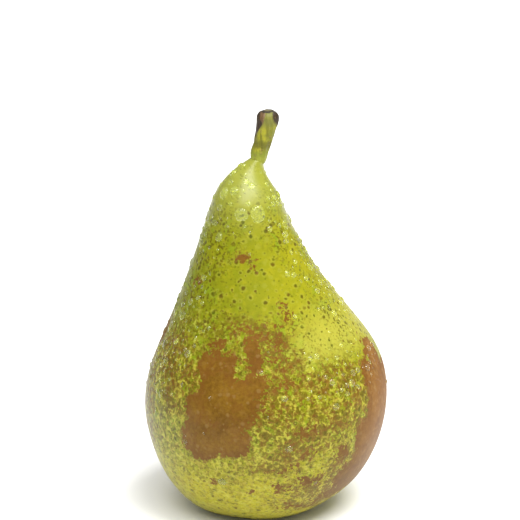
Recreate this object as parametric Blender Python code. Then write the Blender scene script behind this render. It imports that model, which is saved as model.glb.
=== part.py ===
"""A pear as picked, standing on its base: the fruit, its woody stalk and the five dried sepals in its eye.

Metres, +Z up. The origin is on the surface that the fruit stands on, below the middle of its belly. The
front is towards -Y. The neck leans to -X, and the stalk, set to one side of the crown, leans back to +X.
"""

import math

import bpy
from mathutils import Vector
from mathutils.geometry import interpolate_bezier

# The fruit's outline: a flat seat, the widest place, the shoulder of the neck and the stalk's seat on top
SEAT_INNER_RADIUS = 0.0095
SEAT_OUTER_RADIUS = 0.0137
BELLY_RADIUS = 0.0352
BELLY_HEIGHT = 0.0330
NECK_RADIUS = 0.0101
NECK_DROP = 0.0125
FRUIT_HEIGHT = 0.1040

# How the outline bends between them. A handle is how far a curve keeps its direction as it leaves a size.
SEAT_HANDLE = 0.0120
SEAT_RISE = math.radians(8)
BELLY_LOWER_HANDLE = 0.0163
BELLY_UPPER_HANDLE = 0.0176
NECK_LOWER_HANDLE = 0.0370
NECK_UPPER_HANDLE = 0.0037
NECK_SLOPE = math.radians(72.5)
CROWN_HANDLE = 0.0020
CROWN_SLOPE = math.radians(74)

# How the middle line wanders: the seat and the neck are off to -X, and the stalk's seat less so
SEAT_SHIFT = -0.0029
NECK_SHIFT = -0.0056
STALK_SHIFT = -0.0025

# What keeps it from being turned: low ribs round the base, an oval belly, and a belly higher at +X
RIBS = 5
RIB_DEPTH = 0.025
BELLY_OVAL = 0.012
OVAL_TURN = math.radians(45)
BELLY_TILT = 0.06

# The eye: a basin under the fruit with a small pit in its middle
BASIN_DEPTH = 0.0050
EYE_RADIUS = 0.0022
PIT_DEPTH = 0.0025
PIT_FLOOR_RADIUS = 0.0014

# The stalk
STALK_LENGTH = 0.0138
STALK_BASE_RADIUS = 0.0021
STALK_TIP_RADIUS = 0.0028
STALK_LEAN = 0.0028
STALK_LEAN_BACK = 0.0010
STALK_END_ROUNDING = 0.0007

# The sepals
SEPALS = 5
SEPAL_REACH = 0.0036
SEPAL_WIDTH = 0.0024
SEPAL_TIP_WIDTH = 0.0003
SEPAL_THICKNESS = 0.0005
SEPAL_DROOP = 0.5
SEPAL_TAPER = 1.5
SEPAL_THINNING = 0.5

GAP = 0.0003  # between pieces that touch

# How finely each shape is cut into faces
FRUIT_SIDES = 44
BASIN_STEPS = 6
LOWER_STEPS = 11
FLANK_STEPS = 13
CROWN_STEPS = 6
STALK_SIDES = 14
STALK_STEPS = 9
STALK_ROUNDING_STEPS = 2
SEPAL_SIDES = 8
SEPAL_STEPS = 6

FRUIT_COLOUR = (0.38, 0.42, 0.05)
STALK_COLOUR = (0.20, 0.17, 0.05)
SEPAL_COLOUR = (0.05, 0.03, 0.015)


def clear_scene():
    for thing in list(bpy.data.objects):
        bpy.data.objects.remove(thing, do_unlink=True)


def material(name, colour, roughness):
    made = bpy.data.materials.new(name)
    made.use_nodes = True
    shader = made.node_tree.nodes["Principled BSDF"]
    shader.inputs["Base Color"].default_value = (*colour, 1.0)
    shader.inputs["Roughness"].default_value = roughness
    shader.inputs["Metallic"].default_value = 0.0
    return made


def loft(name, rings, finish):
    """A closed solid with flat ends, through rings that run anticlockwise seen from the last one."""
    sides = len(rings[0])
    points = [point for ring in rings for point in ring]
    first_middle = len(points)
    last_middle = first_middle + 1
    last_ring = first_middle - sides
    points += [sum(ring, Vector()) / sides for ring in (rings[0], rings[-1])]
    faces = []
    for side in range(sides):
        after = (side + 1) % sides
        faces.append((first_middle, after, side))
        faces.append((last_middle, last_ring + side, last_ring + after))
        for low in range(0, last_ring, sides):
            high = low + sides
            faces.append((low + side, low + after, high + after, high + side))
    mesh = bpy.data.meshes.new(name)
    mesh.from_pydata(points, [], faces)
    mesh.materials.append(finish)
    mesh.shade_smooth()
    mesh.set_sharp_from_angle(angle=math.radians(50))
    piece = bpy.data.objects.new(name, mesh)
    bpy.context.scene.collection.objects.link(piece)
    return piece


def curve(start, start_handle, end_handle, end, steps):
    """Points along a curved stretch, from the first one after its start to its end."""
    return interpolate_bezier(start, start + start_handle, end + end_handle, end, steps + 1)[1:]


def heading(angle, length):
    """A handle of the outline: outwards at 0, straight up at a right angle."""
    return Vector((math.cos(angle), math.sin(angle))) * length


def basin_height(radius):
    """Height of the basin's wall this far from its middle: a bowl, level at the eye and at the seat."""
    share = (radius - EYE_RADIUS) / (SEAT_INNER_RADIUS - EYE_RADIUS)
    return BASIN_DEPTH * (1 + math.cos(math.pi * share)) / 2


def eye_outline():
    """The hollow under the fruit as (radius, height), from the pit's floor out to the seat's inner edge."""
    points = [(PIT_FLOOR_RADIUS, BASIN_DEPTH + PIT_DEPTH)]
    for step in range(BASIN_STEPS + 1):
        radius = EYE_RADIUS + (SEAT_INNER_RADIUS - EYE_RADIUS) * step / BASIN_STEPS
        points.append((radius, basin_height(radius)))
    return points


def skin_outline():
    """The outside as (radius, height), from the seat's outer edge over the belly and neck to the stalk."""
    seat = Vector((SEAT_OUTER_RADIUS, 0.0))
    belly = Vector((BELLY_RADIUS, BELLY_HEIGHT))
    neck = Vector((NECK_RADIUS, FRUIT_HEIGHT - NECK_DROP))
    crown = Vector((STALK_BASE_RADIUS, FRUIT_HEIGHT))
    up = math.pi / 2
    uphill = math.pi - NECK_SLOPE
    points = [seat]
    points += curve(
        seat, heading(SEAT_RISE, SEAT_HANDLE), heading(-up, BELLY_LOWER_HANDLE), belly, LOWER_STEPS
    )
    points += curve(
        belly, heading(up, BELLY_UPPER_HANDLE), heading(-NECK_SLOPE, NECK_LOWER_HANDLE), neck, FLANK_STEPS
    )
    points += curve(
        neck, heading(uphill, NECK_UPPER_HANDLE), heading(-CROWN_SLOPE, CROWN_HANDLE), crown, CROWN_STEPS
    )
    return points


def ease(share):
    """0 to 1 with a level start and finish."""
    return (1 - math.cos(math.pi * share)) / 2


def middle_line(height):
    """Where the fruit's middle stands at this height, across from the middle of the belly."""
    neck_height = FRUIT_HEIGHT - NECK_DROP
    if height < BELLY_HEIGHT:
        return SEAT_SHIFT * (1 - height / BELLY_HEIGHT) ** 3
    if height < neck_height:
        return NECK_SHIFT * ease((height - BELLY_HEIGHT) / (neck_height - BELLY_HEIGHT))
    return NECK_SHIFT + (STALK_SHIFT - NECK_SHIFT) * ((height - neck_height) / NECK_DROP) ** 4


def fruit_ring(middle, radius, height):
    """One level of the fruit. The ribs fade out below the belly, the oval and the tilt towards both ends."""
    ribs = RIB_DEPTH * max(0.0, 1 - height / BELLY_HEIGHT) ** 2
    bulk = math.sin(math.pi * height / FRUIT_HEIGHT) ** 2
    ring = []
    for side in range(FRUIT_SIDES):
        angle = 2 * math.pi * side / FRUIT_SIDES
        oval = BELLY_OVAL * bulk * math.cos(2 * (angle - OVAL_TURN))
        reach = radius * (1 + ribs * math.cos(RIBS * angle) + oval)
        across = reach * math.cos(angle)
        ring.append(Vector((middle + across, reach * math.sin(angle), height + BELLY_TILT * bulk * across)))
    return ring


def fruit(finish):
    rings = [fruit_ring(SEAT_SHIFT, radius, height) for radius, height in eye_outline()]
    rings += [fruit_ring(middle_line(height), radius, height) for radius, height in skin_outline()]
    return loft("pear_fruit", rings, finish)


def stalk(finish):
    """The stalk leans over as it leaves the fruit, then straightens and swells to its broken-off end."""
    up = Vector((0.0, 0.0, 1.0))
    third = STALK_LENGTH / 3
    foot = Vector((STALK_SHIFT, 0.0, FRUIT_HEIGHT + GAP))
    tip = foot + Vector((STALK_LEAN, STALK_LEAN_BACK, STALK_LENGTH))
    leaning = Vector((STALK_LEAN / 2, STALK_LEAN_BACK / 2, third))
    path = [foot] + curve(foot, leaning, -up * third, tip, STALK_STEPS)
    rings = [circle(foot, up, STALK_BASE_RADIUS)]
    for step in range(1, STALK_STEPS):
        swell = STALK_BASE_RADIUS + (STALK_TIP_RADIUS - STALK_BASE_RADIUS) * ease(step / STALK_STEPS)
        rings.append(circle(path[step], (path[step + 1] - path[step - 1]).normalized(), swell))
    for step in range(STALK_ROUNDING_STEPS + 1):
        turn = math.pi / 2 * step / STALK_ROUNDING_STEPS
        drop = STALK_END_ROUNDING * (1 - math.sin(turn))
        inset = STALK_END_ROUNDING * (1 - math.cos(turn))
        rings.append(circle(tip - up * drop, up, STALK_TIP_RADIUS - inset))
    return loft("stalk", rings, finish)


def circle(middle, forward, radius):
    """A ring of points round middle, square to forward and anticlockwise seen from its far side."""
    sideways = Vector((0.0, 1.0, 0.0)).cross(forward).normalized()
    upright = forward.cross(sideways)
    turns = (2 * math.pi * side / STALK_SIDES for side in range(STALK_SIDES))
    return [middle + (sideways * math.cos(turn) + upright * math.sin(turn)) * radius for turn in turns]


def sepal(number, finish):
    """A dried sepal: it leaves the eye's rim under the basin's wall and droops away from it to its tip."""
    place_round = 2 * math.pi * (number - 0.5) / SEPALS
    outwards = Vector((math.cos(place_round), math.sin(place_round), 0.0))
    sideways = Vector((-math.sin(place_round), math.cos(place_round), 0.0))
    root = EYE_RADIUS + GAP
    places = []
    for step in range(SEPAL_STEPS + 1):
        share = step / SEPAL_STEPS
        radius = root + SEPAL_REACH * share
        hang = (basin_height(radius) - GAP - SEPAL_THICKNESS) * (1 - SEPAL_DROOP * share)
        places.append(Vector((SEAT_SHIFT, 0.0, hang)) + outwards * radius)
    turns = [2 * math.pi * side / SEPAL_SIDES for side in range(SEPAL_SIDES)]
    rings = []
    for step, place in enumerate(places):
        share = step / SEPAL_STEPS
        forward = (places[min(step + 1, SEPAL_STEPS)] - places[max(step - 1, 0)]).normalized()
        across = sideways * (SEPAL_WIDTH + (SEPAL_TIP_WIDTH - SEPAL_WIDTH) * share**SEPAL_TAPER) / 2
        through = forward.cross(sideways) * SEPAL_THICKNESS * (1 - SEPAL_THINNING * share) / 2
        rings.append([place + across * math.cos(turn) + through * math.sin(turn) for turn in turns])
    return loft(f"sepal_{number}", rings, finish)


clear_scene()
fruit(material("pear_skin", FRUIT_COLOUR, 0.35))
stalk(material("stalk_bark", STALK_COLOUR, 0.6))
dried_sepal = material("dried_sepal", SEPAL_COLOUR, 0.85)
for number in range(1, SEPALS + 1):
    sepal(number, dried_sepal)
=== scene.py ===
"""A wet pear standing on a pale floor. Metres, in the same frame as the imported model."""

import math

import bmesh
import bpy
import numpy as np
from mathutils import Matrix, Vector, noise
from mathutils.bvhtree import BVHTree


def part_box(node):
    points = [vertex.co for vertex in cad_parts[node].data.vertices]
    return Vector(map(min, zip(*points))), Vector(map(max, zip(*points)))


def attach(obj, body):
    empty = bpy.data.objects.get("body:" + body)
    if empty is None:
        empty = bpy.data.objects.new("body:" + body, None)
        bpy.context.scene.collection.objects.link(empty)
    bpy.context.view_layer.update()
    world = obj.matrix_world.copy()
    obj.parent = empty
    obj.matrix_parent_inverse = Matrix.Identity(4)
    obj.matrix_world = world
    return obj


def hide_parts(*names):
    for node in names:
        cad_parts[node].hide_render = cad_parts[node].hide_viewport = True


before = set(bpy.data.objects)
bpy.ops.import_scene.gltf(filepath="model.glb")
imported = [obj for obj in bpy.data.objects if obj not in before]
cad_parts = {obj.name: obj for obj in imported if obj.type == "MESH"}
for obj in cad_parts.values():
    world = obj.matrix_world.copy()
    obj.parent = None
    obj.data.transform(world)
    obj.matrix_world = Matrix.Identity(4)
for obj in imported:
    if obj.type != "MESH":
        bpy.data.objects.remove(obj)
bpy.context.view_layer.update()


# ------------------------------------------------------------
# The fruit. A real pear is one grown body: a thin waxy skin over wet flesh, full and round below and drawn
# out into a neck that leans. Where the skin was rubbed or cracked while it grew, it healed over as brown
# russet, which is dry and slightly raised. The skin is the CAD fruit made smooth, with low swellings.

WELD_REACH = 1e-5
FRUIT_DETAIL = 2
LUMP_SIZES = ((0.026, 0.00030), (0.011, 0.00012))  # how far apart the swellings are, and how high
SEAT_KEPT = 0.004  # up to this height the swellings die away, so that the seat stays flat on the floor
SHOULDER_SWELLING = 0.0004  # the crown is fuller on the side that it leans to
SHOULDER_TURN = -80.0
SHOULDER_TURN_REACH = 60.0
SHOULDER_HEIGHT = 0.0985
SHOULDER_HEIGHT_REACH = 0.0045
COLLAR_RISE = 0.0002  # the flesh climbs the foot of the stalk
COLLAR_INNER = 0.0018
COLLAR_OUTER = 0.0034
COLLAR_CURVE = 1.6
COLLAR_LOWEST = 0.09
FOOT_SLICE = 0.0003

# Each patch of russet: turn from the front in degrees, height on the fruit in millimetres, half its width
# and half its height in millimetres, and its slant in degrees if it has one
RUSSET_PATCHES = (
    # the large patch on the front, in lobes
    (-27, 46, 5.4, 8.5),
    (-35, 51.3, 3.2, 3.2),
    (-19, 41, 9.5, 8),
    (-32, 31, 7.4, 7.4),
    (-35, 38.5, 4.2, 6, 20),
    (-18, 31.2, 6.8, 5.8),
    (-7, 46, 4.2, 4),
    # its fingers, its arm, and the round lobe beside them
    (-21, 50.5, 2.6, 5),
    (-7, 54.5, 2.6, 7.5),
    (-27, 56.6, 3.6, 1.3, 18),
    (-13, 60.6, 3.6, 1.2),
    (6, 46.6, 3, 1.3),
    (1, 58.6, 2.5, 1.6),
    (9, 57, 1.5, 2.8),
    (4, 53.2, 2.8, 1.1),
    # the side towards +X, down to the seat
    (64, 42, 4.5, 7.5),
    (78, 47, 5.5, 7),
    (82, 30, 17, 16),
    (58, 28, 7.5, 6.5),
    (40, 25, 2.3, 2.8),
    (51, 15.5, 7.5, 5),
    (62, 20, 9, 7),
    (72, 15, 12, 7),
    (52, 10.5, 10, 3.2),
    (23, 17.6, 4.4, 1.8, -12),
    (24, 7.8, 6, 0.9, -8),
    # small ones, where the skin split and healed
    (22, 64, 1.2, 1.7),
    (10, 52, 1.3, 1),
    (11, 29.5, 1.6, 1.4),
    (18, 33.5, 3.2, 1.5, 10),
    (21, 27, 1.5, 1.3),
    (9, 16, 2.4, 1.2),
    (7, 22, 2.4, 0.9, 15),
    (-27, 17.5, 1.5, 1.2),
    (-9, 14, 1.3, 1),
    (-9, 79, 2.4, 1.4, -12),
    (0, 77.2, 1, 0.7, -30),
    (-58, 71, 1.9, 1.5),
    (-86, 53, 2.2, 5),
    # the back
    (160, 49, 5.5, 3.6, 20),
    (171, 53, 4.4, 3.2, -10),
    (177, 47, 2.6, 4.6),
    (166, 58, 1.3, 2.8, 30),
    (188, 34, 3.6, 5.6),
    (182, 27.5, 5.2, 2.8, 20),
    (195, 40, 1.6, 3.4),
    (-140, 61, 2, 4.6, 10),
    (-147, 57, 3.2, 1.6),
    (-133, 64.5, 1.1, 2.4, -20),
    (-118, 27, 5.6, 2.6, -15),
    (-127, 30.5, 2.6, 3.6),
    (-107, 24, 3.8, 2.2, 10),
    (-113, 33.5, 1.3, 2.6),
    (146, 76, 2.6, 2),
    (-160, 88, 1.6, 1.8),
)
# Where the skin is only flecked and netted with russet, in the same way
NETTED_PATCHES = (
    (4, 39.5, 8, 6.5),
    (11, 50, 6, 5),
    (21, 45, 4.5, 5),
    (38, 46.5, 11, 4),
    (52, 38, 8, 9),
    (30, 33, 9, 7),
    (6, 25, 9, 4),
    (-8, 60, 9, 2.5),
    (-50, 42, 7, 7),
    (-62, 50, 9, 7),
    (-80, 32, 9, 16),
    (16, 30, 7, 5),
    (42, 20, 8, 6),
    (27, 14, 9, 4, -10),
    (30, 9, 11, 3, -10),
    (-1, 38, 4, 8),
    (-42, 44, 4, 8),
    (6, 57, 4.5, 4.5),
    (2, 40, 4.5, 8),
    (150, 40, 22, 14),
    (-125, 35, 20, 14),
)
# Where the skin is dotted with dark grit high up on the fruit, in the same way
GRITTY_PATCHES = (
    (42, 84, 3.5, 6),
    (62, 60, 4, 9),
    (-44, 82, 7, 9),
    (-58, 66, 9, 14),
    (-34, 60, 9, 7),
    (18, 58, 7, 6),
    (120, 78, 12, 14),
    (-140, 74, 14, 16),
)
SEAT_RUSSET_RADIUS = 12.0  # millimetres, round the eye
SEAT_RUSSET_FADE = 0.4  # under 1, its edge wanders further
SEAT_RUSSET_HEIGHT = 0.012
BACK_RUSSET_DEPTH = 1.4  # millimetres
FAR_OUTSIDE = -8.0  # what is stored where no patch is near
# Where drops lie closest together, in the same way
WET_PATCHES = (
    (-55, 88, 9, 13),
    (20, 91, 8, 5),
    (-66, 56, 10, 17),
    (78, 70, 9, 12),
    (48, 47, 12, 6),
    (130, 80, 16, 18),
    (-150, 66, 18, 18),
)


def new_object(name, data):
    """An object in the scene for a mesh, a lamp or a camera."""
    made = bpy.data.objects.new(name, data)
    bpy.context.scene.collection.objects.link(made)
    return made


def fine_copy(node, name, levels):
    """A smooth copy of a CAD piece: its loose triangles welded, paired into quads, then subdivided."""
    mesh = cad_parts[node].data.copy()
    work = bmesh.new()
    work.from_mesh(mesh)
    bmesh.ops.remove_doubles(work, verts=work.verts, dist=WELD_REACH)
    bmesh.ops.join_triangles(
        work, faces=work.faces, angle_face_threshold=math.pi, angle_shape_threshold=math.pi
    )
    work.to_mesh(mesh)
    work.free()
    coarse = new_object(name, mesh)
    smoothing = coarse.modifiers.new("smooth", "SUBSURF")
    smoothing.levels = levels
    smoothing.render_levels = levels
    fine = bpy.data.meshes.new_from_object(coarse.evaluated_get(bpy.context.evaluated_depsgraph_get()))
    coarse.modifiers.clear()
    coarse.data = fine
    fine.name = name
    fine.materials.clear()
    fine.shade_smooth()
    return coarse


def points_of(mesh, what="co"):
    """The places, or the normals, of a mesh's vertices as an array."""
    out = np.empty(len(mesh.vertices) * 3, np.float32)
    source = mesh.vertices if what == "co" else mesh.vertex_normals
    source.foreach_get("co" if what == "co" else "vector", out)
    return out.reshape(-1, 3).astype(float)


def move_points(mesh, places):
    mesh.vertices.foreach_set("co", places.astype(np.float32).ravel())
    mesh.update()


def add_attribute(mesh, name, values):
    mesh.attributes.new(name, "FLOAT", "POINT").data.foreach_set("value", values.astype(np.float32))


def lumps(places, sizes):
    """How far each place swells out of an even surface."""
    out = np.zeros(len(places))
    for spacing, height in sizes:
        out += [height * noise.noise(Vector(place) / spacing) for place in places]
    return out


fruit_low, fruit_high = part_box("pear_fruit")
skin = fine_copy("pear_fruit", "skin", FRUIT_DETAIL)
places = points_of(skin.data)
LEVELS = np.linspace(fruit_low.z, fruit_high.z, 40)
SLICE = 0.003


def middles_of(places, levels, slice_height):
    """The middle of the ring of places round each level."""
    rings = [places[abs(places[:, 2] - level) < slice_height] for level in levels]
    return np.array([(ring.min(0) + ring.max(0)) / 2 for ring in rings])


ring_middles = middles_of(places, LEVELS, SLICE)


def around_the_fruit(places):
    """(turn in degrees from the front, distance from the fruit's middle line, height) of each place."""
    across = places[:, 0] - np.interp(places[:, 2], LEVELS, ring_middles[:, 0])
    depth = places[:, 1] - np.interp(places[:, 2], LEVELS, ring_middles[:, 1])
    return np.degrees(np.arctan2(across, -depth)), np.hypot(across, depth), places[:, 2] - fruit_low.z


def depth_inside(patches, turn, reach, height):
    """How many millimetres each place lies inside the nearest patch, less than 0 outside them all."""
    deepest = np.full(len(turn), FAR_OUTSIDE)
    for patch_turn, patch_height, half_width, half_height, *slant in patches:
        swing = (turn - patch_turn + 180) % 360 - 180
        across = np.radians(swing) * reach * 1000
        up = height * 1000 - patch_height
        lean = math.radians(sum(slant))
        along = across * math.cos(lean) + up * math.sin(lean)
        beside = up * math.cos(lean) - across * math.sin(lean)
        share = np.hypot(along / half_width, beside / half_height)
        deepest = np.maximum(deepest, (1 - share) * min(half_width, half_height))
    return deepest


turn, reach, height = around_the_fruit(places)
swelling = lumps(places, LUMP_SIZES) * np.clip(height / SEAT_KEPT, 0, 1)
off_shoulder = ((turn - SHOULDER_TURN) / SHOULDER_TURN_REACH) ** 2
off_shoulder += ((height - SHOULDER_HEIGHT) / SHOULDER_HEIGHT_REACH) ** 2
swelling += SHOULDER_SWELLING * np.exp(-off_shoulder)
places += points_of(skin.data, "normal") * swelling[:, None]
stalk_low, stalk_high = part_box("stalk")
foot = points_of(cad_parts["stalk"].data)
foot = foot[foot[:, 2] < stalk_low.z + FOOT_SLICE].mean(0)
from_foot = np.hypot(places[:, 0] - foot[0], places[:, 1] - foot[1])
collar = np.clip((COLLAR_OUTER - from_foot) / (COLLAR_OUTER - COLLAR_INNER), 0, 1)
places[:, 2] += COLLAR_RISE * np.where(height > COLLAR_LOWEST, collar**COLLAR_CURVE, 0)
move_points(skin.data, places)
skin_points = places

russet = depth_inside(RUSSET_PATCHES, turn, reach, height)
round_eye = (SEAT_RUSSET_RADIUS - reach * 1000) * SEAT_RUSSET_FADE
russet = np.where(height < SEAT_RUSSET_HEIGHT, np.maximum(russet, round_eye), russet)
# on the back it is nowhere deep, so that green shows through it in places
russet = np.minimum(russet, BACK_RUSSET_DEPTH + 1000 * np.clip(-places[:, 1], 0, None))
add_attribute(skin.data, "russet", russet)
add_attribute(skin.data, "netted", depth_inside(NETTED_PATCHES, turn, reach, height))
add_attribute(skin.data, "gritty", depth_inside(GRITTY_PATCHES, turn, reach, height))
wetness = depth_inside(WET_PATCHES, turn, reach, height)

# The widest drops: turn from the front in degrees, height on the fruit, half their width and height, and
# their thickness, all in millimetres. No small drop or mist lies under them, which the dry value tells.
WIDE_DROP_MARGIN = 0.8
DRY = -20.0
WIDE_DROPS = (
    (17, 91, 2.2, 2.6, 0.7),
    (-11, 90.8, 2, 2, 0.65),
    (4, 93.6, 0.9, 0.8, 0.45),
    (-52, 95, 1.4, 1.9, 0.75),
    (-63, 87, 1.2, 1.7, 0.75),
    (-40, 83.5, 1.1, 1.5, 0.65),
    (-72, 79.5, 1.2, 1.3, 0.60),
    (62, 86.5, 1.1, 1.5, 0.65),
    (74, 74, 1.2, 1.4, 0.60),
    (-64, 60, 1.3, 1.5, 0.65),
    (-74, 51, 1.2, 1.6, 0.60),
    (148, 84, 1.6, 2, 0.70),
    (-158, 70, 1.4, 1.7, 0.65),
    (120, 66, 1.3, 1.6, 0.60),
)
under_wide = depth_inside([drop[:4] for drop in WIDE_DROPS], turn, reach, height)
add_attribute(skin.data, "wet", np.where(under_wide > -WIDE_DROP_MARGIN, DRY, wetness))


def add(tree, kind, inputs=None, **settings):
    """A node. inputs maps a socket's name or number to its value, or to the output that feeds it."""
    made = tree.nodes.new(kind)
    for name, value in settings.items():
        setattr(made, name, value)
    for name, value in (inputs or {}).items():
        if isinstance(value, bpy.types.NodeSocket):
            tree.links.new(value, made.inputs[name])
        else:
            made.inputs[name].default_value = value
    return made


def reckon(tree, operation, first, second=0.0, third=0.0):
    """The output of a Math node."""
    return add(tree, "ShaderNodeMath", {0: first, 1: second, 2: third}, operation=operation).outputs[0]


def product(tree, *values):
    """The output of the Math nodes that multiply these together."""
    result = values[0]
    for value in values[1:]:
        result = reckon(tree, "MULTIPLY", result, value)
    return result


def rise(tree, value, start, end):
    """0 where value is before start, 1 where it is past end, and a smooth step between."""
    ramp = {"Value": value, "From Min": start, "From Max": end}
    return add(tree, "ShaderNodeMapRange", ramp, interpolation_type="SMOOTHSTEP").outputs["Result"]


def blend(tree, share, first, second):
    """first, going over to second as share goes from 0 to 1."""
    return add(tree, "ShaderNodeMix", {0: share, 6: first, 7: second}, data_type="RGBA").outputs[2]


def cloud(tree, where, spacing, detail=2.0, roughness=0.5, warp=0.0):
    """Noise from 0 to 1 with swirls this far apart, in metres."""
    settings = {"Vector": where, "Scale": 1 / spacing, "Detail": detail}
    settings |= {"Roughness": roughness, "Distortion": warp}
    return add(tree, "ShaderNodeTexNoise", settings).outputs["Fac"]


def patchy(tree, where, spacing, start, end, warp=0.0):
    """Cloudy patches this far apart: 0 where the noise is under start, 1 where it is over end."""
    return rise(tree, cloud(tree, where, spacing, 3.0, 0.6, warp), start, end)


def lay(tree, ground, colour, mask, strength=1.0):
    """The ground with a colour laid over it where the mask is 1, at most as thickly as strength."""
    return blend(tree, product(tree, mask, strength), ground, colour)


def cracks(tree, where, spacing, narrow, wide):
    """A net of lines this far apart, each 1 in its middle and 0 from its edge."""
    settings = {"Vector": where, "Scale": 1 / spacing}
    lines = add(tree, "ShaderNodeTexVoronoi", settings, feature="DISTANCE_TO_EDGE")
    return rise(tree, lines.outputs["Distance"], wide, narrow)


def stored(tree, name):
    """A number that the points of the mesh store."""
    return add(tree, "ShaderNodeAttribute", attribute_name=name).outputs["Fac"]


def new_material(name):
    """A material, its node tree and its Principled shader."""
    made = bpy.data.materials.new(name)
    made.use_nodes = True
    return made, made.node_tree, made.node_tree.nodes["Principled BSDF"]


def new_tree(name, kind, inputs, outputs):
    """A node tree and what it is given. Each socket is a name, a kind and perhaps a starting value."""
    tree = bpy.data.node_groups.new(name, kind)
    for way, sockets in (("INPUT", inputs), ("OUTPUT", outputs)):
        for label, socket_kind, *value in sockets:
            socket = tree.interface.new_socket(label, in_out=way, socket_type=f"NodeSocket{socket_kind}")
            if value:
                socket.default_value = value[0]
    return tree, add(tree, "NodeGroupInput").outputs


def pores_group():
    """Round spots in the surface. Dot is 1 in a spot, Halo 1 just round it, and Dome its height."""
    tree, given = new_tree(
        "pores",
        "ShaderNodeTree",
        (("Vector", "Vector"), ("Spacing", "Float", 0.0016), ("Size", "Float", 0.25)),
        (("Dot", "Float"), ("Halo", "Float"), ("Dome", "Float")),
    )
    scale = reckon(tree, "DIVIDE", 1.0, given["Spacing"])
    cells = add(tree, "ShaderNodeTexVoronoi", {"Vector": given["Vector"], "Scale": scale})
    chance = add(tree, "ShaderNodeSeparateColor", {"Color": cells.outputs["Color"]}).outputs[0]
    size = product(tree, given["Size"], reckon(tree, "ADD", chance, 0.35))
    share = reckon(tree, "DIVIDE", cells.outputs["Distance"], size)
    dot = rise(tree, share, 1.2, 0.45)
    halo = reckon(tree, "SUBTRACT", rise(tree, share, 2.0, 1.1), dot)
    square = reckon(tree, "SUBTRACT", 1.0, product(tree, share, share))
    dome = reckon(tree, "SQRT", reckon(tree, "MAXIMUM", square, 0.0))
    add(tree, "NodeGroupOutput", {"Dot": dot, "Halo": halo, "Dome": dome})
    return tree


PORES = pores_group()


def spots(tree, where, spacing, size):
    """What the pores group puts out. Size is a spot's radius as a share of how far apart they are."""
    settings = {"Vector": where, "Spacing": spacing, "Size": size}
    return add(tree, "ShaderNodeGroup", settings, node_tree=PORES).outputs


GREEN = (0.150, 0.166, 0.005, 1)
YELLOW = (0.280, 0.258, 0.009, 1)
PALE = (0.34, 0.34, 0.045, 1)
LEAF_GREEN = (0.160, 0.225, 0.008, 1)
CROWN_GREEN = (0.255, 0.272, 0.020, 1)
SEAT_YELLOW = (0.42, 0.37, 0.012, 1)
# the pale shoulder colour is partly the skin's own paler tone, partly a painted highlight on the lamp side
SHOULDER_PALE_AND_HIGHLIGHT = (0.38, 0.355, 0.055, 1)
CREAM = (0.43, 0.39, 0.045, 1)
PORE_GREEN = (0.052, 0.058, 0.002, 1)
PORE_BROWN = (0.085, 0.045, 0.005, 1)
PORE_TAN = (0.24, 0.15, 0.05, 1)
HALO_YELLOW = (0.30, 0.30, 0.04, 1)
OLIVE_VEIL = (0.112, 0.076, 0.006, 1)
GRIT = (0.085, 0.066, 0.004, 1)
RUSSET_DARK = (0.105, 0.049, 0.004, 1)
RUSSET_LIGHT = (0.180, 0.093, 0.009, 1)
RUSSET_EDGE = (0.128, 0.049, 0.008, 1)
RUSSET_PALE = (0.270, 0.150, 0.045, 1)
RUSSET_ROSY = (0.270, 0.115, 0.035, 1)

# The fruit's zones, each from the place along one axis where it begins to the place where it is full
SEAT_ZONE = (0.034, 0.010)
BELLY_ZONE = (0.065, 0.045)
CROWN_ZONE = (0.082, 0.100)
PORE_ZONE = (0.099, 0.088)
CRUMBLY_ZONE = (0.066, 0.050)
STRANDS_ZONE = (0.058, 0.044)
# the shoulder zone is where the pale colour and its painted highlight are laid, on the lamp side towards
# +X
SHOULDER_HIGHLIGHT_ZONES = {"Z": ((0.048, 0.055), (0.070, 0.056)), "X": ((0.002, 0.016),)}
ROSY_ZONE = (0.020, 0.034)
BACK_ZONE = (-0.014, 0.002)
WET_CROWN_ZONE = (0.091, 0.107)
WET_FRONT_ZONE = (0.007, -0.004)
WET_BASE_ZONE = (0.048, 0.020)
WET_FLANK_ZONES = {"Z": ((0.050, 0.030),), "X": ((-0.012, -0.026),)}
# How far outside and inside the patches, in millimetres, what they hold begins and is full
NETTED_FADE = (-4.0, 2.5)
GRITTY_FADE = (-5.0, 4.0)
WET_FADE = (-2.0, 5.0)
SOLID_FADE = (-0.3, 0.6)
EDGE_FADE = (3.0, 0.4)
# How much higher the crumbly part and its strands reach on the side towards -X
CRUMBLY_SKEW = 0.32
STRANDS_SKEW = 0.15
# How far, in metres, what is scattered over the skin is pushed out of line
PUSH = 0.0008


def zone(tree, place, zones):
    """1 where a place is inside all of these zones."""
    edges = [rise(tree, place[axis], *edge) for axis in zones for edge in zones[axis]]
    return product(tree, *edges)


def skewed(tree, place, skew):
    """The height of a place, raised towards +X and lowered towards -X."""
    return reckon(tree, "MULTIPLY_ADD", place["X"], skew, place["Z"])


def strewn_about(tree, where):
    """The place pushed about a little, so that nothing scattered over the skin is quite regular."""
    push = add(tree, "ShaderNodeTexNoise", {"Vector": where, "Scale": 900.0, "Detail": 2.0})
    centred = add(tree, "ShaderNodeVectorMath", {0: push.outputs["Color"], 1: (-0.5, -0.5, -0.5)})
    settings = {0: centred.outputs[0], 1: (PUSH, PUSH, PUSH), 2: where}
    return add(tree, "ShaderNodeVectorMath", settings, operation="MULTIPLY_ADD").outputs[0]


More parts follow.
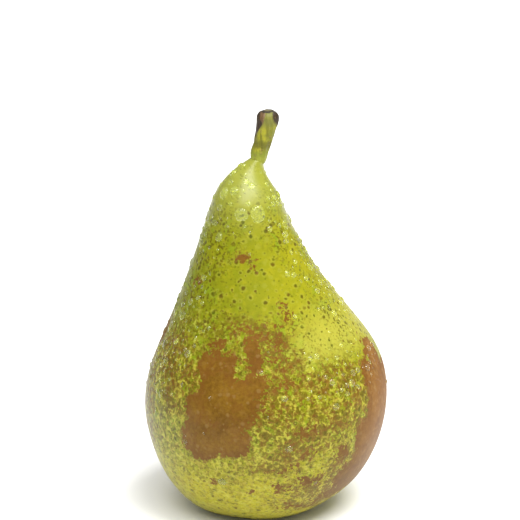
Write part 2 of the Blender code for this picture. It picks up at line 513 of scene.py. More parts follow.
def skin_ground(tree, where, place, gritty):
    """The ground colour: yellow on the side that had the sun and near the seat, green on the other."""
    near_seat = rise(tree, place["Z"], *SEAT_ZONE)
    sunny = reckon(tree, "MULTIPLY_ADD", place["X"], 14.0, -0.10)
    sunny = reckon(tree, "MULTIPLY_ADD", place["Z"], 2.0, sunny)
    sunny = reckon(tree, "MULTIPLY_ADD", rise(tree, place["Z"], *BELLY_ZONE), -0.25, sunny)
    sunny = reckon(tree, "MULTIPLY_ADD", near_seat, 0.75, sunny)
    sunny = reckon(tree, "MULTIPLY_ADD", cloud(tree, where, 0.014, 3), 0.8, sunny)
    ground = blend(tree, rise(tree, sunny, 0.0, 1.0), GREEN, YELLOW)
    bright = rise(tree, cloud(tree, where, 0.0024, 4.0, 0.65), 0.45, 0.75)
    ground = lay(tree, ground, YELLOW, bright, strength=0.7)
    dull = patchy(tree, where, spacing=0.0035, start=0.45, end=0.75, warp=0.5)
    ground = lay(tree, ground, GREEN, dull, strength=0.6)
    fresh = patchy(tree, where, spacing=0.0042, start=0.53, end=0.62, warp=0.5)
    ground = lay(tree, ground, LEAF_GREEN, product(tree, fresh, gritty), strength=0.65)
    ground = lay(tree, ground, SEAT_YELLOW, near_seat, strength=0.6)
    ground = lay(tree, ground, CROWN_GREEN, rise(tree, place["Z"], *CROWN_ZONE), strength=0.65)
    # it is palest on the shoulder towards +X, where the key lamp falls: partly the paler colour of the
    # shoulder that had the most sun, partly a painted highlight
    return lay(tree, ground, SHOULDER_PALE_AND_HIGHLIGHT, zone(tree, place, SHOULDER_HIGHLIGHT_ZONES), strength=0.55)


def with_pores(tree, ground, where, strewn, place):
    """The ground with large pores and fine ones between them, and where the large ones are."""
    here = rise(tree, place["Z"], *PORE_ZONE)
    large = spots(tree, strewn, spacing=0.0021, size=0.27)
    fine = spots(tree, strewn, spacing=0.0012, size=0.25)
    pores = product(tree, large["Dot"], here)
    ground = lay(tree, ground, HALO_YELLOW, large["Halo"], strength=0.25)
    ground = lay(tree, ground, PORE_GREEN, product(tree, fine["Dot"], here), strength=0.55)
    browned = rise(tree, cloud(tree, where, 0.004), 0.4, 0.6)
    tint = blend(tree, browned, PORE_GREEN, PORE_BROWN)
    return lay(tree, ground, tint, pores, strength=0.85), pores


def with_crumbs(tree, ground, where, strewn, place, crumbly, gritty, netted):
    """The ground where the skin has corked over in crumbs: an olive veil, dark grit and pale strands."""
    pale = patchy(tree, where, spacing=0.0014, start=0.52, end=0.64)
    ground = lay(tree, ground, PALE, product(tree, pale, crumbly), strength=0.8)
    veil = reckon(tree, "MULTIPLY_ADD", netted, 0.12, cloud(tree, where, 0.0023, 5, 0.7, 0.4))
    veil = rise(tree, veil, 0.54, 0.65)
    ground = lay(tree, ground, OLIVE_VEIL, veil, strength=reckon(tree, "MINIMUM", netted, 0.85))
    grit = rise(tree, cloud(tree, where, 0.0010, 3.0, 0.55), 0.545, 0.60)
    thinned = reckon(tree, "MULTIPLY_ADD", rise(tree, place["Z"], *SEAT_ZONE), -0.36, 0.8)
    ground = lay(tree, ground, GRIT, product(tree, grit, gritty), strength=thinned)
    strands = cracks(tree, strewn, spacing=0.0021, narrow=0.03, wide=0.24)
    broken = patchy(tree, where, spacing=0.0012, start=0.44, end=0.60)
    lower = rise(tree, skewed(tree, place, STRANDS_SKEW), *STRANDS_ZONE)
    return lay(tree, ground, CREAM, product(tree, strands, broken, lower), strength=0.75)


def russet_depth(tree, where, place):
    """How far inside the torn and crumbled edge of the russet a place is, in millimetres."""
    tearing = reckon(tree, "MULTIPLY_ADD", rise(tree, place["Y"], *BACK_ZONE), 6.0, 4.4)
    torn = reckon(tree, "SUBTRACT", cloud(tree, where, 0.005, 3, 0.6, 0.4), 0.54)
    depth = reckon(tree, "MULTIPLY_ADD", torn, tearing, stored(tree, "russet"))
    # the edge crumbles most where the large patch on the front ends, short of the far side
    from_there = reckon(tree, "ABSOLUTE", reckon(tree, "SUBTRACT", place["X"], 0.009))
    crumbling = reckon(tree, "MULTIPLY_ADD", rise(tree, from_there, 0.016, 0.009), 8.0, 6.0)
    crumbled = reckon(tree, "SUBTRACT", cloud(tree, where, 0.0012, 4, 0.65, 0.3), 0.5)
    return reckon(tree, "MULTIPLY_ADD", crumbled, crumbling, depth)


def russet_flecks(tree, where, strewn, netted):
    """Flecks and a broken net of russet, which are thickest where the skin is netted."""
    least = reckon(tree, "MULTIPLY_ADD", netted, -0.16, 0.69)
    flecks = reckon(tree, "SUBTRACT", cloud(tree, where, 0.0015, 4, 0.65, 0.5), least)
    net = cracks(tree, strewn, spacing=0.0021, narrow=0.03, wide=0.16)
    broken = patchy(tree, where, spacing=0.003, start=0.42, end=0.6)
    return reckon(tree, "MAXIMUM", rise(tree, flecks, 0.0, 0.05), product(tree, net, broken, netted))


def russet_colour(tree, where, place, depth, pores):
    """Brown with a fine grain, ruddy at its edges and in places, and rosier on the side towards +X."""
    slow = reckon(tree, "MULTIPLY_ADD", cloud(tree, where, 0.009, 3), 0.9, -0.45)
    grain = reckon(tree, "ADD", cloud(tree, where, 0.0011, 4, 0.7), slow)
    colour = blend(tree, rise(tree, grain, 0.2, 0.85), RUSSET_DARK, RUSSET_LIGHT)
    rosy = product(tree, rise(tree, place["X"], *ROSY_ZONE), 0.5)
    colour = blend(tree, rosy, colour, RUSSET_ROSY)
    colour = lay(tree, colour, RUSSET_EDGE, rise(tree, depth, *EDGE_FADE), strength=0.55)
    chalky = rise(tree, cloud(tree, where, 0.0026, 4.0, 0.65, 0.4), 0.48, 0.66)
    colour = lay(tree, colour, RUSSET_PALE, chalky, strength=reckon(tree, "ADD", rosy, 0.15))
    ruddy = patchy(tree, where, spacing=0.0034, start=0.52, end=0.64, warp=0.6)
    colour = lay(tree, colour, RUSSET_EDGE, ruddy, strength=0.4)
    return lay(tree, colour, PORE_TAN, pores, strength=0.35)


def film_of_water(tree, where, place, droplets):
    """How thick a film of water is: most on the crown, the base and the flank towards -X."""
    ragged = reckon(tree, "MULTIPLY_ADD", cloud(tree, where, 0.010, 3), 0.024, place["Z"])
    crown = product(tree, rise(tree, ragged, *WET_CROWN_ZONE), rise(tree, place["Y"], *WET_FRONT_ZONE))
    base = product(tree, rise(tree, place["Z"], *WET_BASE_ZONE), 0.28)
    film = reckon(tree, "ADD", crown, base)
    flank = product(tree, zone(tree, place, WET_FLANK_ZONES), 0.40)
    film = reckon(tree, "MAXIMUM", film, flank)
    return reckon(tree, "MAXIMUM", film, product(tree, droplets, 0.18))


def skin_material():
    made, tree, shader = new_material("pear_skin")
    where = add(tree, "ShaderNodeTexCoord").outputs["Object"]
    place = add(tree, "ShaderNodeSeparateXYZ", {0: where}).outputs
    strewn = strewn_about(tree, where)
    crumbly = rise(tree, skewed(tree, place, CRUMBLY_SKEW), *CRUMBLY_ZONE)
    gritty = reckon(tree, "MAXIMUM", crumbly, rise(tree, stored(tree, "gritty"), *GRITTY_FADE))
    lightly = product(tree, crumbly, rise(tree, place["Z"], -0.02, 0.03), 0.5)
    netted = reckon(tree, "MAXIMUM", rise(tree, stored(tree, "netted"), *NETTED_FADE), lightly)

    ground = skin_ground(tree, where, place, gritty)
    ground, pores = with_pores(tree, ground, where, strewn, place)
    ground = with_crumbs(tree, ground, where, strewn, place, crumbly, gritty, netted)
    depth = russet_depth(tree, where, place)
    flecks = product(tree, russet_flecks(tree, where, strewn, netted), 0.75)
    brown = reckon(tree, "MAXIMUM", rise(tree, depth, *SOLID_FADE), flecks)
    colour = blend(tree, brown, ground, russet_colour(tree, where, place, depth, pores))

    # a mist of droplets too small to model stands on the wet places
    wet = reckon(tree, "MULTIPLY_ADD", cloud(tree, where, 0.006), 8.0, stored(tree, "wet"))
    wet = rise(tree, wet, *WET_FADE)
    mist = spots(tree, strewn, spacing=0.0013, size=0.34)
    droplets = product(tree, mist["Dot"], wet)

    relief = product(tree, cloud(tree, where, 0.0007, 3, 0.6), 0.15)
    relief = reckon(tree, "MULTIPLY_ADD", brown, 0.15, relief)
    relief = reckon(tree, "MULTIPLY_ADD", pores, 0.12, relief)
    relief = reckon(tree, "MULTIPLY_ADD", mist["Dome"], wet, relief)
    bump = add(tree, "ShaderNodeBump", {"Strength": 0.8, "Distance": 0.0003, "Height": relief})
    roughness = reckon(tree, "MULTIPLY_ADD", brown, 0.22, 0.36)
    roughness = reckon(tree, "MULTIPLY_ADD", droplets, -0.22, roughness)
    tree.links.new(colour, shader.inputs["Base Color"])
    tree.links.new(roughness, shader.inputs["Roughness"])
    tree.links.new(film_of_water(tree, where, place, droplets), shader.inputs["Coat Weight"])
    tree.links.new(bump.outputs["Normal"], shader.inputs["Normal"])
    shader.inputs["IOR"].default_value = 1.3
    shader.inputs["Specular IOR Level"].default_value = 0.12
    shader.inputs["Coat Roughness"].default_value = 0.32
    shader.inputs["Coat IOR"].default_value = 1.53
    return made


skin.data.materials.append(skin_material())
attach(skin, "root")
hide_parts("pear_fruit")


# ------------------------------------------------------------
# The stalk. It is the woody stem that the fruit hung by, green and fleshy at its foot where it grows out
# of the crown, then ribbed and going brown towards the end where it broke from the twig. The CAD stalk is
# made smooth, sunk a little into the crown, ribbed, and rounded and dished at its end.

STALK_DETAIL = 3
STALK_RADIUS = 0.0022
STALK_SLICE = 0.0009
FOOT_REACH = 0.0020  # how much of the stalk is drawn down into the crown
FOOT_SINK = 0.0022
FOOT_CURVE = 1.5
FOOT_SHRINK = 0.22
SPREAD = 1.15  # subdividing thins the stalk, so it is fattened again
SHIFT = 0.0002
SHIFT_REACH = 0.004
RIB_SPACING = 0.0012
RIB_STRETCH = 9.0
RIB_HEIGHT = 0.00028
END_REACH = 0.0026
END_ROUNDING = 0.5
END_CURVE = 2.4
# The broken end: how far down it begins and is full, how deep its dish is, and how rough it is
BREAK_DEPTH = 0.0014
BREAK_FULL = 0.0012
DISH_DEPTH = 0.0004
DISH_RADIUS = 0.0024
ROUGH_SPACING = 0.0007
ROUGH_HEIGHT = 0.00012
CUT_RADIUS = 0.0020
RIM_WIDTH = 0.0009

stalk = fine_copy("stalk", "stem", STALK_DETAIL)
places = points_of(stalk.data)
stem_levels = np.linspace(stalk_low.z, stalk_high.z, 24)
stem_middles = middles_of(places, stem_levels, STALK_SLICE)
middle_x = np.interp(places[:, 2], stem_levels, stem_middles[:, 0])
middle_y = np.interp(places[:, 2], stem_levels, stem_middles[:, 1])
out_x = places[:, 0] - middle_x
out_y = places[:, 1] - middle_y
from_middle = np.hypot(out_x, out_y)
above_foot = places[:, 2] - stalk_low.z
below_end = stalk_high.z - places[:, 2]
sunk = np.clip(1 - above_foot / FOOT_REACH, 0, 1)
broken = np.clip((BREAK_DEPTH - below_end) / BREAK_FULL, 0, 1)
rib_places = places / (RIB_SPACING, RIB_SPACING, RIB_SPACING * RIB_STRETCH)
ribs = np.array([noise.fractal(Vector(place), 0.6, 2.0, 3) for place in rib_places])
spread = SPREAD * (1 - FOOT_SHRINK * sunk**2)
spread *= 1 + ribs * RIB_HEIGHT / STALK_RADIUS
spread *= 1 - END_ROUNDING * np.clip(1 - below_end / END_REACH, 0, 1) ** END_CURVE
dish = DISH_DEPTH * broken * np.clip(1 - from_middle / DISH_RADIUS, 0, 1)
places[:, 0] = middle_x + out_x * spread + SHIFT * np.clip(above_foot / SHIFT_REACH, 0, 1)
places[:, 1] = middle_y + out_y * spread
places[:, 2] -= FOOT_SINK * sunk**FOOT_CURVE + dish
roughened = np.array([noise.noise(Vector(place) / ROUGH_SPACING) for place in places])
places[:, 2] += ROUGH_HEIGHT * broken * roughened
move_points(stalk.data, places)
add_attribute(stalk.data, "end", broken * np.clip(1.1 - from_middle / CUT_RADIUS, 0, 1))
on_rim = np.clip(1 - abs(from_middle - STALK_RADIUS) / RIM_WIDTH, 0, 1)
add_attribute(stalk.data, "rim", broken * on_rim)

STEM_YELLOW = (0.285, 0.270, 0.012, 1)
STEM_GREEN = (0.165, 0.165, 0.012, 1)
STEM_OLIVE = (0.105, 0.098, 0.003, 1)
STEM_FOOT = (0.185, 0.205, 0.013, 1)
STEM_GREY = (0.140, 0.138, 0.025, 1)
STEM_TAN = (0.120, 0.066, 0.025, 1)
STEM_BROWN = (0.030, 0.016, 0.004, 1)
CUT_WOOD = (0.115, 0.095, 0.045, 1)
CUT_RIM = (0.022, 0.016, 0.007, 1)

# Bands of the stalk, each from the height above its foot where it begins to the height where it is full
FOOT_BAND = (0.0032, 0.0016)
CROWN_BAND = (0.0018, -0.0002)
GREY_BAND = (0.0085, 0.0115)
BARK_BAND = (0.0050, 0.0070)
TAN_BAND = (0.0098, 0.0112)
CAP_BAND = (0.0142, 0.0156)
# Bands across it, each from the distance from its middle line
TAN_SIDE = (0.0003, 0.0009)
CAP_SIDE = (0.0012, 0.0018)
BARK_EDGE = (0.0, 0.0004)
# The darker ring above the foot: its height, and half its width at its edge and where it is full
RING_HEIGHT = 0.0044
RING_WIDTH = (0.0016, 0.0004)


def off_the_stem(tree, place, up, streaks):
    """How far towards +X of the stalk's leaning middle line a place is, with a ragged measure."""
    first, last = stem_middles[1], stem_middles[-2]
    slope = float((last[0] - first[0]) / (stem_levels[-2] - stem_levels[1]))
    start = float(first[0] - slope * (stem_levels[1] - stalk_low.z))
    axis = reckon(tree, "MULTIPLY_ADD", up, slope, start)
    side = reckon(tree, "SUBTRACT", place["X"], axis)
    return reckon(tree, "MULTIPLY_ADD", streaks, 0.0010, reckon(tree, "SUBTRACT", side, 0.0005))


def stem_ground(tree, where, up, streaks):
    """Yellow and green in blotches and streaks, greener at the foot and greyer above."""
    blotches = rise(tree, cloud(tree, where, 0.0026), 0.35, 0.65)
    colour = blend(tree, blotches, STEM_GREEN, STEM_YELLOW)
    colour = lay(tree, colour, STEM_OLIVE, rise(tree, streaks, 0.5, 0.7), strength=0.7)
    uneven = reckon(tree, "MULTIPLY_ADD", streaks, 0.0016, reckon(tree, "SUBTRACT", up, 0.0008))
    off_ring = reckon(tree, "ABSOLUTE", reckon(tree, "SUBTRACT", uneven, RING_HEIGHT))
    colour = lay(tree, colour, STEM_OLIVE, rise(tree, off_ring, *RING_WIDTH), strength=0.8)
    colour = lay(tree, colour, STEM_FOOT, rise(tree, uneven, *FOOT_BAND))
    colour = lay(tree, colour, CROWN_GREEN, rise(tree, uneven, *CROWN_BAND))
    return lay(tree, colour, STEM_GREY, rise(tree, up, *GREY_BAND), strength=0.85)


def with_bark(tree, colour, side, up):
    """Brown bark creeps down the side towards -X, widest at the end, and caps the other side."""
    away = product(tree, side, -1.0)
    tan = product(tree, rise(tree, away, *TAN_SIDE), rise(tree, up, *TAN_BAND))
    colour = lay(tree, colour, STEM_TAN, tan)
    narrowing = {"Value": up, "From Min": 0.0075, "From Max": 0.0100, "To Min": 0.0016, "To Max": 0.0008}
    inner = add(tree, "ShaderNodeMapRange", narrowing).outputs["Result"]
    inner = reckon(tree, "MULTIPLY_ADD", rise(tree, up, 0.0105, 0.0118), 0.0008, inner)
    dark = rise(tree, reckon(tree, "SUBTRACT", away, inner), *BARK_EDGE)
    dark = product(tree, dark, rise(tree, up, *BARK_BAND))
    edge_up = reckon(tree, "MULTIPLY_ADD", side, 1.6, up)
    cap = product(tree, rise(tree, side, *CAP_SIDE), rise(tree, edge_up, *CAP_BAND))
    return lay(tree, colour, STEM_BROWN, reckon(tree, "MAXIMUM", dark, cap))


def stem_material():
    made, tree, shader = new_material("stalk_bark")
    where = add(tree, "ShaderNodeTexCoord").outputs["Object"]
    place = add(tree, "ShaderNodeSeparateXYZ", {0: where}).outputs
    up = reckon(tree, "SUBTRACT", place["Z"], stalk_low.z)
    stretched = add(tree, "ShaderNodeVectorMath", {0: where, 1: (1, 1, 0.14)}, operation="MULTIPLY")
    streaks = cloud(tree, stretched.outputs[0], 0.0011, 4, 0.6)
    colour = stem_ground(tree, where, up, streaks)
    colour = with_bark(tree, colour, off_the_stem(tree, place, up, streaks), up)
    colour = lay(tree, colour, CUT_WOOD, rise(tree, stored(tree, "end"), 0.1, 0.3))
    rim = reckon(tree, "MULTIPLY_ADD", streaks, 1.1, stored(tree, "rim"))
    colour = lay(tree, colour, CUT_RIM, rise(tree, rim, 0.9, 1.25))
    pores = spots(tree, where, spacing=0.0014, size=0.24)["Dot"]
    colour = lay(tree, colour, PORE_TAN, pores, strength=0.35)
    relief = reckon(tree, "MULTIPLY_ADD", pores, 0.5, streaks)
    bump = add(tree, "ShaderNodeBump", {"Strength": 0.8, "Distance": 0.00025, "Height": relief})
    tree.links.new(colour, shader.inputs["Base Color"])
    tree.links.new(bump.outputs["Normal"], shader.inputs["Normal"])
    tree.links.new(reckon(tree, "MULTIPLY_ADD", streaks, 0.3, 0.38), shader.inputs["Roughness"])
    shader.inputs["Specular IOR Level"].default_value = 0.3
    return made


stalk.data.materials.append(stem_material())
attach(stalk, "root")
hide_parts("stalk")


# ------------------------------------------------------------
# The sepals. The five leaves that cupped the flower stay on in the eye under the fruit, dried to thin
# brown scales. They are the CAD sepals made smooth and wrinkled.

SEPAL_DETAIL = 2
SEPAL_COUNT = 5
WRINKLE_SPACING = 0.0007
WRINKLE_HEIGHT = 0.00012
SEPAL_BROWN = (0.085, 0.045, 0.018, 1)
SEPAL_GREY = (0.22, 0.16, 0.09, 1)


def sepal_material():
    made, tree, shader = new_material("dried_sepal")
    where = add(tree, "ShaderNodeTexCoord").outputs["Object"]
    fuzz = cloud(tree, where, 0.0004, 4, 0.7)
    colour = blend(tree, rise(tree, fuzz, 0.3, 0.7), SEPAL_BROWN, SEPAL_GREY)
    tree.links.new(colour, shader.inputs["Base Color"])
    bump = add(tree, "ShaderNodeBump", {"Strength": 0.7, "Distance": 0.0001, "Height": fuzz})
    tree.links.new(bump.outputs["Normal"], shader.inputs["Normal"])
    shader.inputs["Roughness"].default_value = 0.8
    return made


dry = sepal_material()
sepal_nodes = [f"sepal_{number + 1}" for number in range(SEPAL_COUNT)]
for node in sepal_nodes:
    sepal = fine_copy(node, f"dried_{node}", SEPAL_DETAIL)
    places = points_of(sepal.data)
    wrinkles = lumps(places, ((WRINKLE_SPACING, WRINKLE_HEIGHT),))
    places += points_of(sepal.data, "normal") * wrinkles[:, None]
    move_points(sepal.data, places)
    sepal.data.materials.append(dry)
    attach(sepal, "root")
    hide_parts(node)


# ------------------------------------------------------------
# The stamens. The threads of the flower stay on in the middle of the eye, dried brown and bent every way,
# each with the shrunken pouch that held its pollen at the tip. They hang from the skin at the eye.

STAMEN_COUNT = 20
STAMEN_LENGTH = 0.0024
STAMEN_THICKNESS = 0.00016
STAMEN_RING = 0.0011
# The bend and the tip of a thread, as shares of its length
STAMEN_KNEE = (0.05, 0.0, -0.6)
STAMEN_TIP = (0.5, 0.15, -1.0)
# The least and the most that a thread strays from the ring, in metres, and tilts and turns, and its size
STAMEN_STRAY = ((-0.0005, -0.0005, 0.0), (0.0005, 0.0005, 0.0003))
STAMEN_TURN = ((-0.3, -0.3, 0.0), (0.3, 0.3, 2 * math.pi))
STAMEN_SIZE = (0.75, 1.1)
EYE_RADIUS = 0.002
EYE_TOP = 0.02


def random_vector(tree, lowest, highest, seed):
    """A vector for each point, by chance, between these two."""
    settings = {0: lowest, 1: highest, "Seed": seed}
    return add(tree, "FunctionNodeRandomValue", settings, data_type="FLOAT_VECTOR").outputs[0]


def scaled(tree, vector, size):
    """The vector made this many times as long."""
    return add(tree, "ShaderNodeVectorMath", {0: vector, "Scale": size}, operation="SCALE").outputs[0]


def finish_tree(tree, points, instance, rotation, scale, place, material):
    """Sets the instance on every point, and puts it out as one real mesh of one material."""
    settings = {"Points": points, "Instance": instance, "Rotation": rotation, "Scale": scale}
    placed = add(tree, "GeometryNodeInstanceOnPoints", settings).outputs[0]
    if place is not None:
        placed = add(tree, "GeometryNodeTransform", {"Geometry": placed, "Translation": place}).outputs[0]
    real = add(tree, "GeometryNodeRealizeInstances", {"Geometry": placed}).outputs[0]
    done = add(tree, "GeometryNodeSetMaterial", {"Geometry": real, "Material": material}).outputs[0]
    add(tree, "NodeGroupOutput", {"Geometry": done})


def stamens_tree(material):
    """Bent threads, each with a knob at its tip, that hang from a ring."""
    tree, given = new_tree(
        "stamens",
        "GeometryNodeTree",
        (
            ("Geometry", "Geometry"),
            ("Count", "Int", 20),
            ("Length", "Float", 0.002),
            ("Thickness", "Float", 0.0002),
            ("Ring Radius", "Float", 0.001),
            ("Place", "Vector"),
            ("Seed", "Int", 1),
        ),
        (("Geometry", "Geometry"),),
    )
    knee = scaled(tree, STAMEN_KNEE, given["Length"])
    tip = scaled(tree, STAMEN_TIP, given["Length"])
    bend = {"Resolution": 5, "Start": (0, 0, 0), "Middle": knee, "End": tip}
    path = add(tree, "GeometryNodeCurveQuadraticBezier", bend).outputs[0]
    radius = product(tree, given["Thickness"], 0.5)
    outline = {"Resolution": 5, "Radius": radius}
    outline = add(tree, "GeometryNodeCurvePrimitiveCircle", outline).outputs[0]
    swept = {"Curve": path, "Profile Curve": outline, "Fill Caps": True}
    thread = add(tree, "GeometryNodeCurveToMesh", swept).outputs[0]
    ball = {"Segments": 6, "Rings": 4, "Radius": given["Thickness"]}
    knob = add(tree, "GeometryNodeMeshUVSphere", ball).outputs["Mesh"]
    knob = add(tree, "GeometryNodeTransform", {"Geometry": knob, "Translation": tip}).outputs[0]
    whole = add(tree, "GeometryNodeJoinGeometry", {0: thread})
    tree.links.new(knob, whole.inputs[0])
    circle = {"Vertices": given["Count"], "Radius": given["Ring Radius"]}
    ring = add(tree, "GeometryNodeMeshCircle", circle).outputs["Mesh"]
    stray = random_vector(tree, *STAMEN_STRAY, given["Seed"])
    ring = add(tree, "GeometryNodeSetPosition", {"Geometry": ring, "Offset": stray}).outputs[0]
    turned = random_vector(tree, *STAMEN_TURN, given["Seed"])
    smallest, largest = STAMEN_SIZE
    chance = {2: smallest, 3: largest, "Seed": given["Seed"]}
    size = add(tree, "FunctionNodeRandomValue", chance, data_type="FLOAT").outputs[1]
    finish_tree(tree, ring, whole.outputs[0], turned, size, given["Place"], material)
    return tree


def made_by(tree, mesh, name, values):
    """The mesh that a Geometry Nodes tree makes out of another mesh."""
    source = new_object(name, mesh.copy())
    modifier = source.modifiers.new("nodes", "NODES")
    modifier.node_group = tree
    for item in tree.interface.items_tree:
        if item.in_out == "INPUT" and item.name in values:
            modifier[item.identifier] = values[item.name]
    made = bpy.data.meshes.new_from_object(source.evaluated_get(bpy.context.evaluated_depsgraph_get()))
    source.modifiers.clear()
    source.data = made
    made.name = name
    return source


eye = Vector(np.mean([tuple(corner) for node in sepal_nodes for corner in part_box(node)], 0))
from_eye = np.hypot(skin_points[:, 0] - eye.x, skin_points[:, 1] - eye.y)
near_eye = (from_eye < EYE_RADIUS) & (skin_points[:, 2] < EYE_TOP)
eye.z = float(skin_points[near_eye, 2].mean())
settings = {
    "Count": STAMEN_COUNT,
    "Length": STAMEN_LENGTH,
    "Thickness": STAMEN_THICKNESS,
    "Ring Radius": STAMEN_RING,
    "Place": eye,
    "Seed": 3,
}
stamens = made_by(stamens_tree(dry), bpy.data.meshes.new("stamens"), "stamens", settings)
stamens.data.shade_smooth()
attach(stamens, "root")


# ------------------------------------------------------------
# Water drops. The fruit was sprayed, so round drops of every size cling to its waxy skin. They stand up
# like domes, and lie thickest on the neck and the flanks.

DROP_SIDES = 12
DROP_RINGS = 6
DROP_FLATNESS = 0.55
DROP_SINK = 0.12  # how far a drop of radius 1 is sunk in the skin
DROP_SIZE_CURVE = 2.2  # over 1, small drops are commoner than large ones
DROP_UNEVENNESS = ((0.82, 0.82, 0.8), (1.15, 1.15, 1.1))
UNEVENNESS_SEED = 7
# From where no drops stand to where most do, by what the skin stores as wet, and by height off the floor
DROPS_WET = (-6.0, 3.0)
DROPS_NOT_DRY = (-19.0, -10.0)
DROPS_OFF_FLOOR = (0.012, 0.03)


def water_material():
    made, tree, shader = new_material("water")
    # the pale yellow base colour, seen through a small diffuse share, is painted light: it lightens the
    # drops in place of the light that real drops focus onto the skin
    shader.inputs["Base Color"].default_value = (0.88, 0.93, 0.60, 1)
    shader.inputs["Roughness"].default_value = 0.05
    shader.inputs["IOR"].default_value = 1.33
    shader.inputs["Transmission Weight"].default_value = 0.95
    clear = add(tree, "ShaderNodeBsdfTransparent", {"Color": (0.96, 0.97, 0.96, 1)})
    shadow = add(tree, "ShaderNodeLightPath").outputs["Is Shadow Ray"]
    both = {0: shadow, 1: shader.outputs["BSDF"], 2: clear.outputs["BSDF"]}
    mix = add(tree, "ShaderNodeMixShader", both)
    tree.links.new(mix.outputs[0], tree.nodes["Material Output"].inputs["Surface"])
    return made


def drops_tree(material):
    """Domes scattered over a surface: how many follows what it stores as wet, and most are small."""
    tree, given = new_tree(
        "drops",
        "GeometryNodeTree",
        (
            ("Geometry", "Geometry"),
            ("Least Gap", "Float", 0.001),
            ("Density", "Float", 100000.0),
            ("Least Share", "Float", 0.0),
            ("Smallest", "Float", 0.0003),
            ("Largest", "Float", 0.001),
            ("Seed", "Int", 1),
        ),
        (("Geometry", "Geometry"),),
    )
    wet = add(tree, "GeometryNodeInputNamedAttribute", {"Name": "wet"}, data_type="FLOAT").outputs[0]
    dry_end, wet_end = DROPS_WET
    ramp = {"Value": wet, "From Min": dry_end, "From Max": wet_end, "To Min": given["Least Share"]}
    share = add(tree, "ShaderNodeMapRange", ramp, interpolation_type="SMOOTHSTEP").outputs["Result"]
    height = add(tree, "ShaderNodeSeparateXYZ", {0: add(tree, "GeometryNodeInputPosition").outputs[0]})
    off_floor = rise(tree, height.outputs["Z"], *DROPS_OFF_FLOOR)
    off_wide = rise(tree, wet, *DROPS_NOT_DRY)
    scatter = {
        "Mesh": given["Geometry"],
        "Distance Min": given["Least Gap"],
        "Density Max": given["Density"],
        "Density Factor": product(tree, share, product(tree, off_floor, off_wide)),
        "Seed": given["Seed"],
    }
    points = add(tree, "GeometryNodeDistributePointsOnFaces", scatter, distribute_method="POISSON").outputs
    ball = {"Segments": DROP_SIDES, "Rings": DROP_RINGS, "Radius": 1.0}
    dome = add(tree, "GeometryNodeMeshUVSphere", ball).outputs["Mesh"]
    flattened = {"Geometry": dome, "Translation": (0, 0, -DROP_SINK), "Scale": (1, 1, DROP_FLATNESS)}
    dome = add(tree, "GeometryNodeTransform", flattened).outputs[0]
    dome = add(tree, "GeometryNodeSetShadeSmooth", {"Geometry": dome}).outputs[0]
    chance = add(tree, "FunctionNodeRandomValue", {"Seed": given["Seed"]}, data_type="FLOAT").outputs[1]
    chance = reckon(tree, "POWER", chance, DROP_SIZE_CURVE)
    range_of_sizes = {"Value": chance, "To Min": given["Smallest"], "To Max": given["Largest"]}
    size = add(tree, "ShaderNodeMapRange", range_of_sizes).outputs["Result"]
    scale = scaled(tree, random_vector(tree, *DROP_UNEVENNESS, UNEVENNESS_SEED), size)
    finish_tree(tree, points["Points"], dome, points["Rotation"], scale, None, material)
    return tree


WIDE_SIDES = 36
WIDE_RINGS = 9
WIDE_SINK = 0.00012  # how far the rim lies under the skin
WIDE_BOTTOM = 0.0003
WOBBLE = 0.16
WOBBLE_SCALE = 1.1
WOBBLE_STEP = 7.3


def wide_outline(number, half_width, half_height):
    """How far across and up the places round a drop's edge are. Each drop wobbles in its own way."""
    for step in range(WIDE_SIDES):
        angle = 2 * math.pi * step / WIDE_SIDES
        spot = Vector((math.cos(angle), math.sin(angle), 0))
        sway = noise.noise(spot * WOBBLE_SCALE + Vector((number * WOBBLE_STEP, 0, 0)))
        wobble = 1 + WOBBLE * sway
        yield spot.x * half_width * wobble / 1000, spot.y * half_height * wobble / 1000


def wide_drops(skin_mesh):
    """Flat-topped drops with a steep rim, which follow the skin under them."""
    surface = BVHTree.FromPolygons(
        [vertex.co for vertex in skin_mesh.vertices], [face.vertices for face in skin_mesh.polygons]
    )
    work = bmesh.new()
    for number, (drop_turn, drop_height, half_width, half_height, thickness) in enumerate(WIDE_DROPS):
        swing = (turn - drop_turn + 180) % 360 - 180
        away = np.hypot(np.radians(swing) * reach, height - drop_height / 1000)
        middle, out, _, _ = surface.find_nearest(Vector(skin_points[int(away.argmin())]))
        side = Vector((0, 0, 1)).cross(out).normalized()
        up = out.cross(side)
        edges = []
        for across, above in wide_outline(number, half_width, half_height):
            flat = side * across + up * above
            edges.append((flat, (surface.find_nearest(middle + flat)[0] - middle).dot(out)))
        rings = []
        for ring in range(1, WIDE_RINGS + 1):
            share = math.sin(ring / WIDE_RINGS * math.pi / 2)
            tall = thickness / 1000 * max(0.0, 1 - share**4) ** 0.5 - WIDE_SINK
            ring_places = [middle + flat * share + out * (fall * share**2 + tall) for flat, fall in edges]
            rings.append([work.verts.new(ring_place) for ring_place in ring_places])
        top = work.verts.new(middle + out * (thickness / 1000 - WIDE_SINK))
        bottom = work.verts.new(middle - out * WIDE_BOTTOM)
        for a, b in zip(range(WIDE_SIDES), [*range(1, WIDE_SIDES), 0]):
            work.faces.new((top, rings[0][a], rings[0][b]))
            for inner, outer in zip(rings, rings[1:]):
                work.faces.new((inner[a], outer[a], outer[b], inner[b]))
            work.faces.new((rings[-1][a], bottom, rings[-1][b]))
    mesh = bpy.data.meshes.new("wide_drops")
    work.to_mesh(mesh)
    work.free()
    mesh.shade_smooth()
    return mesh


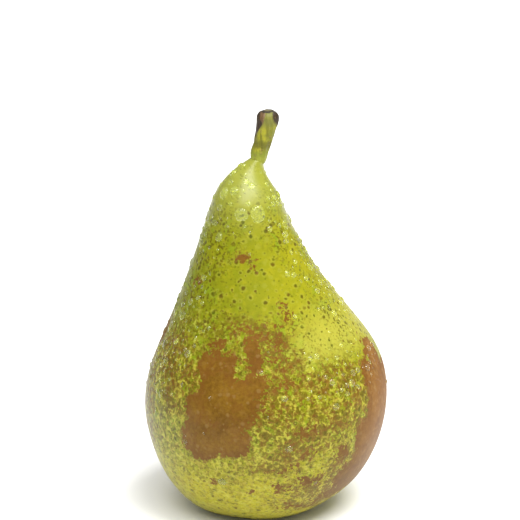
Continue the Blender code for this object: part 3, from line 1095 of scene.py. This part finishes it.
water = water_material()
settings = {
    "Least Gap": 0.0019,
    "Density": 260000.0,
    "Least Share": 0.05,
    "Smallest": 0.0004,
    "Largest": 0.0013,
    "Seed": 4,
}
drops = made_by(drops_tree(water), skin.data, "water_drops", settings)
wide = new_object("wide_water_drops", wide_drops(skin.data))
wide.data.materials.append(water)
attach(wide, "root")
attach(drops, "root")


# ------------------------------------------------------------
# Floor, lights and camera. The floor is a plain pale sheet. A soft key lamp hangs high on the right, a
# second one faces the fruit, and the room is white and darker towards the floor.

FLOOR_SIZE = 8.0
floor_mesh = bpy.data.meshes.new("floor")
half = FLOOR_SIZE / 2
corners = [(-half, -half, 0), (half, -half, 0), (half, half, 0), (-half, half, 0)]
floor_mesh.from_pydata(corners, [], [(0, 1, 2, 3)])
floor = new_object("floor", floor_mesh)
floor.location.z = fruit_low.z
made, tree, shader = new_material("floor")
shader.inputs["Base Color"].default_value = (0.88, 0.88, 0.87, 1)
shader.inputs["Roughness"].default_value = 0.7
floor_mesh.materials.append(made)

AIM = Vector((-0.00174, 0.0, 0.07384))
CAMERA_DISTANCE = 1.0
CAMERA_RISE = math.radians(18)
FRAME_WIDTH = 0.1488
camera_data = bpy.data.cameras.new("camera")
camera = new_object("camera", camera_data)
camera.location = AIM + CAMERA_DISTANCE * Vector((0, -math.cos(CAMERA_RISE), math.sin(CAMERA_RISE)))
camera.rotation_euler = (math.pi / 2 - CAMERA_RISE, 0, 0)
camera_data.lens = camera_data.sensor_width * CAMERA_DISTANCE / FRAME_WIDTH
bpy.context.scene.camera = camera

LAMP_AIM = Vector((0, 0, 0.05))
# The name, place, size in metres and power in watts of each lamp
LAMPS = (
    ("key", (0.96, -0.66, 2.76), 1.7, 112.0),
    ("front", (-0.15, -1.5, 2.3), 1.6, 40.0),
)
for name, spot, size, power in LAMPS:
    lamp_data = bpy.data.lights.new(name, "AREA")
    lamp_data.size = size
    lamp_data.energy = power
    lamp = new_object(name, lamp_data)
    lamp.location = spot
    lamp.rotation_euler = (LAMP_AIM - Vector(spot)).to_track_quat("-Z", "Y").to_euler()

HORIZON_LIGHT = 0.24
ZENITH_LIGHT = 1.0
world = bpy.data.worlds.new("studio")
world.use_nodes = True
tree = world.node_tree
upward = add(tree, "ShaderNodeSeparateXYZ", {0: add(tree, "ShaderNodeTexCoord").outputs["Generated"]})
ramp = {"Value": upward.outputs["Z"], "To Min": HORIZON_LIGHT, "To Max": ZENITH_LIGHT}
sky = add(tree, "ShaderNodeMapRange", ramp)
tree.nodes["Background"].inputs["Color"].default_value = (1.0, 1.0, 1.0, 1)
tree.links.new(sky.outputs["Result"], tree.nodes["Background"].inputs["Strength"])
bpy.context.scene.world = world
bpy.context.scene.view_settings.view_transform = "Standard"
